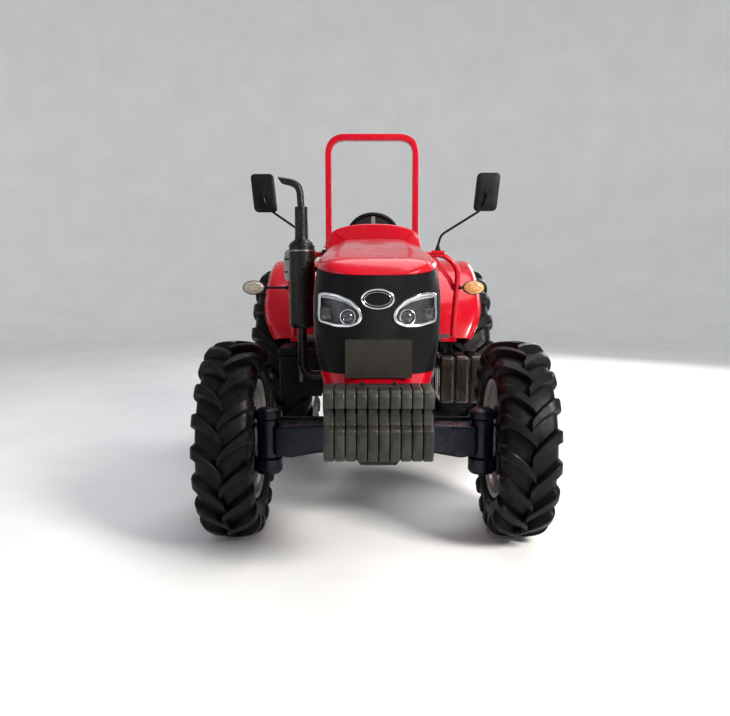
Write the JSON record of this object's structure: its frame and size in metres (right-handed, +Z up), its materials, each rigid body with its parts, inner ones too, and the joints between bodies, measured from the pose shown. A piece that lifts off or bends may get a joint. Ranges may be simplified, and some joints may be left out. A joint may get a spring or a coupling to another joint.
{
  "type": "farm tractor",
  "caption": "Four-wheel-drive utility tractor with a roll-over hoop, lifting bonnet, steered front axle, front weights and a rear three-point linkage.",
  "frame": {"origin": "on the floor, in the middle of the whole length and of the width between the tyres' outer faces", "axes": "+Z up; the tractor faces -Y, so +X is its left side"},
  "size_m": [1.805, 3.96, 2.55],
  "materials": {
    "red_paint": "gloss",
    "black_mesh": "satin",
    "chrome": "polished",
    "clear_lamp": "gloss",
    "amber_lamp": "gloss",
    "plate_grey": "matte",
    "rough_iron": "matte",
    "navy_iron": "satin",
    "engine_black": "satin",
    "black_rubber": "matte",
    "rim_grey": "satin",
    "black_satin": "satin",
    "tank_brown": "satin",
    "canister_grey": "satin",
    "seat_vinyl": "satin",
    "floor_mat": "matte",
    "link_black": "satin"
  },
  "bodies": {
    "root": {"front_frame": "engine_black", "engine": "engine_black", "radiator": "engine_black", "gearbox": "navy_iron", "rear_axle_housing": "navy_iron", "front_axle_beam": "navy_iron", "drive_shaft": "engine_black", "front_weights": "rough_iron", "drawbar": "engine_black", "dash_cowl": "red_paint", "steering_column": "black_satin", "muffler": "black_satin", "air_cleaner": "canister_grey", "fuel_tank": "tank_brown", "battery_box": "engine_black", "platform": "floor_mat", "rops": "red_paint", "seat_base": "black_satin", "seat_cushion": "seat_vinyl", "seat_back": "seat_vinyl", "pedals": "black_satin", "shift_levers": "black_satin", "hitch_housing": "navy_iron", "hand_rail_left": "red_paint", "hand_rail_right": "red_paint", "mirror_left": "black_satin", "mirror_right": "black_satin", "side_lamp_left": "amber_lamp", "side_lamp_right": "amber_lamp", "fender_left": "red_paint", "fender_right": "red_paint"},
    "bonnet": {"bonnet": "red_paint", "grille": "black_mesh", "headlamp_left": "clear_lamp", "headlamp_right": "clear_lamp", "badge": "chrome", "number_plate": "plate_grey"},
    "knuckle_left": {"knuckle_left": "navy_iron"},
    "knuckle_right": {"knuckle_right": "navy_iron"},
    "tie_rod": {"tie_rod": "engine_black"},
    "front_wheel_left": {"front_tyre_left": "black_rubber", "front_rim_left": "rim_grey"},
    "front_wheel_right": {"front_tyre_right": "black_rubber", "front_rim_right": "rim_grey"},
    "rear_wheel_left": {"rear_tyre_left": "black_rubber", "rear_rim_left": "rim_grey"},
    "rear_wheel_right": {"rear_tyre_right": "black_rubber", "rear_rim_right": "rim_grey"},
    "steering_wheel": {"steering_wheel": "black_satin"},
    "lift_arms": {"lift_arms": "link_black"},
    "lower_link_left": {"lower_link_left": "link_black"},
    "lower_link_right": {"lower_link_right": "link_black"},
    "lift_rod_left": {"lift_rod_left": "link_black"},
    "lift_rod_right": {"lift_rod_right": "link_black"}
  },
  "joints": [
    {"name": "bonnet_hinge", "type": "hinge", "parent": "root", "child": "bonnet", "pos_m": [0, -0.204, 1.619], "axis": [-1, 0, 0], "range_deg": [0, 50]},
    {"name": "steer_left", "type": "hinge", "parent": "root", "child": "knuckle_left", "pos_m": [0.59, -1, 0.53538], "axis": [0, 0, 1], "range_deg": [-40, 40]},
    {"name": "steer_right", "type": "hinge", "parent": "root", "child": "knuckle_right", "pos_m": [-0.59, -1, 0.53538], "axis": [0, 0, 1], "range_deg": [-40, 40]},
    {"name": "tie_rod_turn", "type": "hinge", "parent": "knuckle_left", "child": "tie_rod", "pos_m": [0.59, -0.84, 0.60838], "axis": [0, 0, 1], "range_deg": [-40, 40]},
    {"name": "steering_wheel_turn", "type": "hinge", "parent": "root", "child": "steering_wheel", "pos_m": [0, 0.31, 1.693], "axis": [0, 0.866, 0.5], "range_deg": [-600, 600]},
    {"name": "front_left_roll", "type": "hinge", "parent": "knuckle_left", "child": "front_wheel_left", "pos_m": [0.76, -1, 0.53538], "axis": [1, 0, 0], "continuous": true},
    {"name": "front_right_roll", "type": "hinge", "parent": "knuckle_right", "child": "front_wheel_right", "pos_m": [-0.76, -1, 0.53538], "axis": [1, 0, 0], "continuous": true},
    {"name": "rear_left_roll", "type": "hinge", "parent": "root", "child": "rear_wheel_left", "pos_m": [0.685, 1.1, 0.73367], "axis": [1, 0, 0], "continuous": true},
    {"name": "rear_right_roll", "type": "hinge", "parent": "root", "child": "rear_wheel_right", "pos_m": [-0.685, 1.1, 0.73367], "axis": [1, 0, 0], "continuous": true},
    {"name": "lift", "type": "hinge", "parent": "root", "child": "lift_arms", "pos_m": [0, 1.24, 1.045], "axis": [1, 0, 0], "range_deg": [0, 45]},
    {"name": "lower_link_left_lift", "type": "hinge", "parent": "root", "child": "lower_link_left", "pos_m": [0.2175, 1.15, 0.46], "axis": [1, 0, 0], "range_deg": [0, 45]},
    {"name": "lower_link_right_lift", "type": "hinge", "parent": "root", "child": "lower_link_right", "pos_m": [-0.2175, 1.15, 0.46], "axis": [1, 0, 0], "range_deg": [0, 45]},
    {"name": "lift_rod_left_turn", "type": "hinge", "parent": "lift_arms", "child": "lift_rod_left", "pos_m": [0.225, 1.52978, 0.96735], "axis": [1, 0, 0], "range_deg": [-45, 0]},
    {"name": "lift_rod_right_turn", "type": "hinge", "parent": "lift_arms", "child": "lift_rod_right", "pos_m": [-0.225, 1.52978, 0.96735], "axis": [1, 0, 0], "range_deg": [-45, 0]}
  ],
  "couplings": [
    {"joint": "steer_right", "follows": "steer_left", "ratio": 1},
    {"joint": "tie_rod_turn", "follows": "steer_left", "ratio": -1},
    {"joint": "steering_wheel_turn", "follows": "steer_left", "ratio": 15},
    {"joint": "lower_link_left_lift", "follows": "lift", "ratio": 1},
    {"joint": "lower_link_right_lift", "follows": "lift", "ratio": 1},
    {"joint": "lift_rod_left_turn", "follows": "lift", "ratio": -1},
    {"joint": "lift_rod_right_turn", "follows": "lift", "ratio": -1}
  ]
}
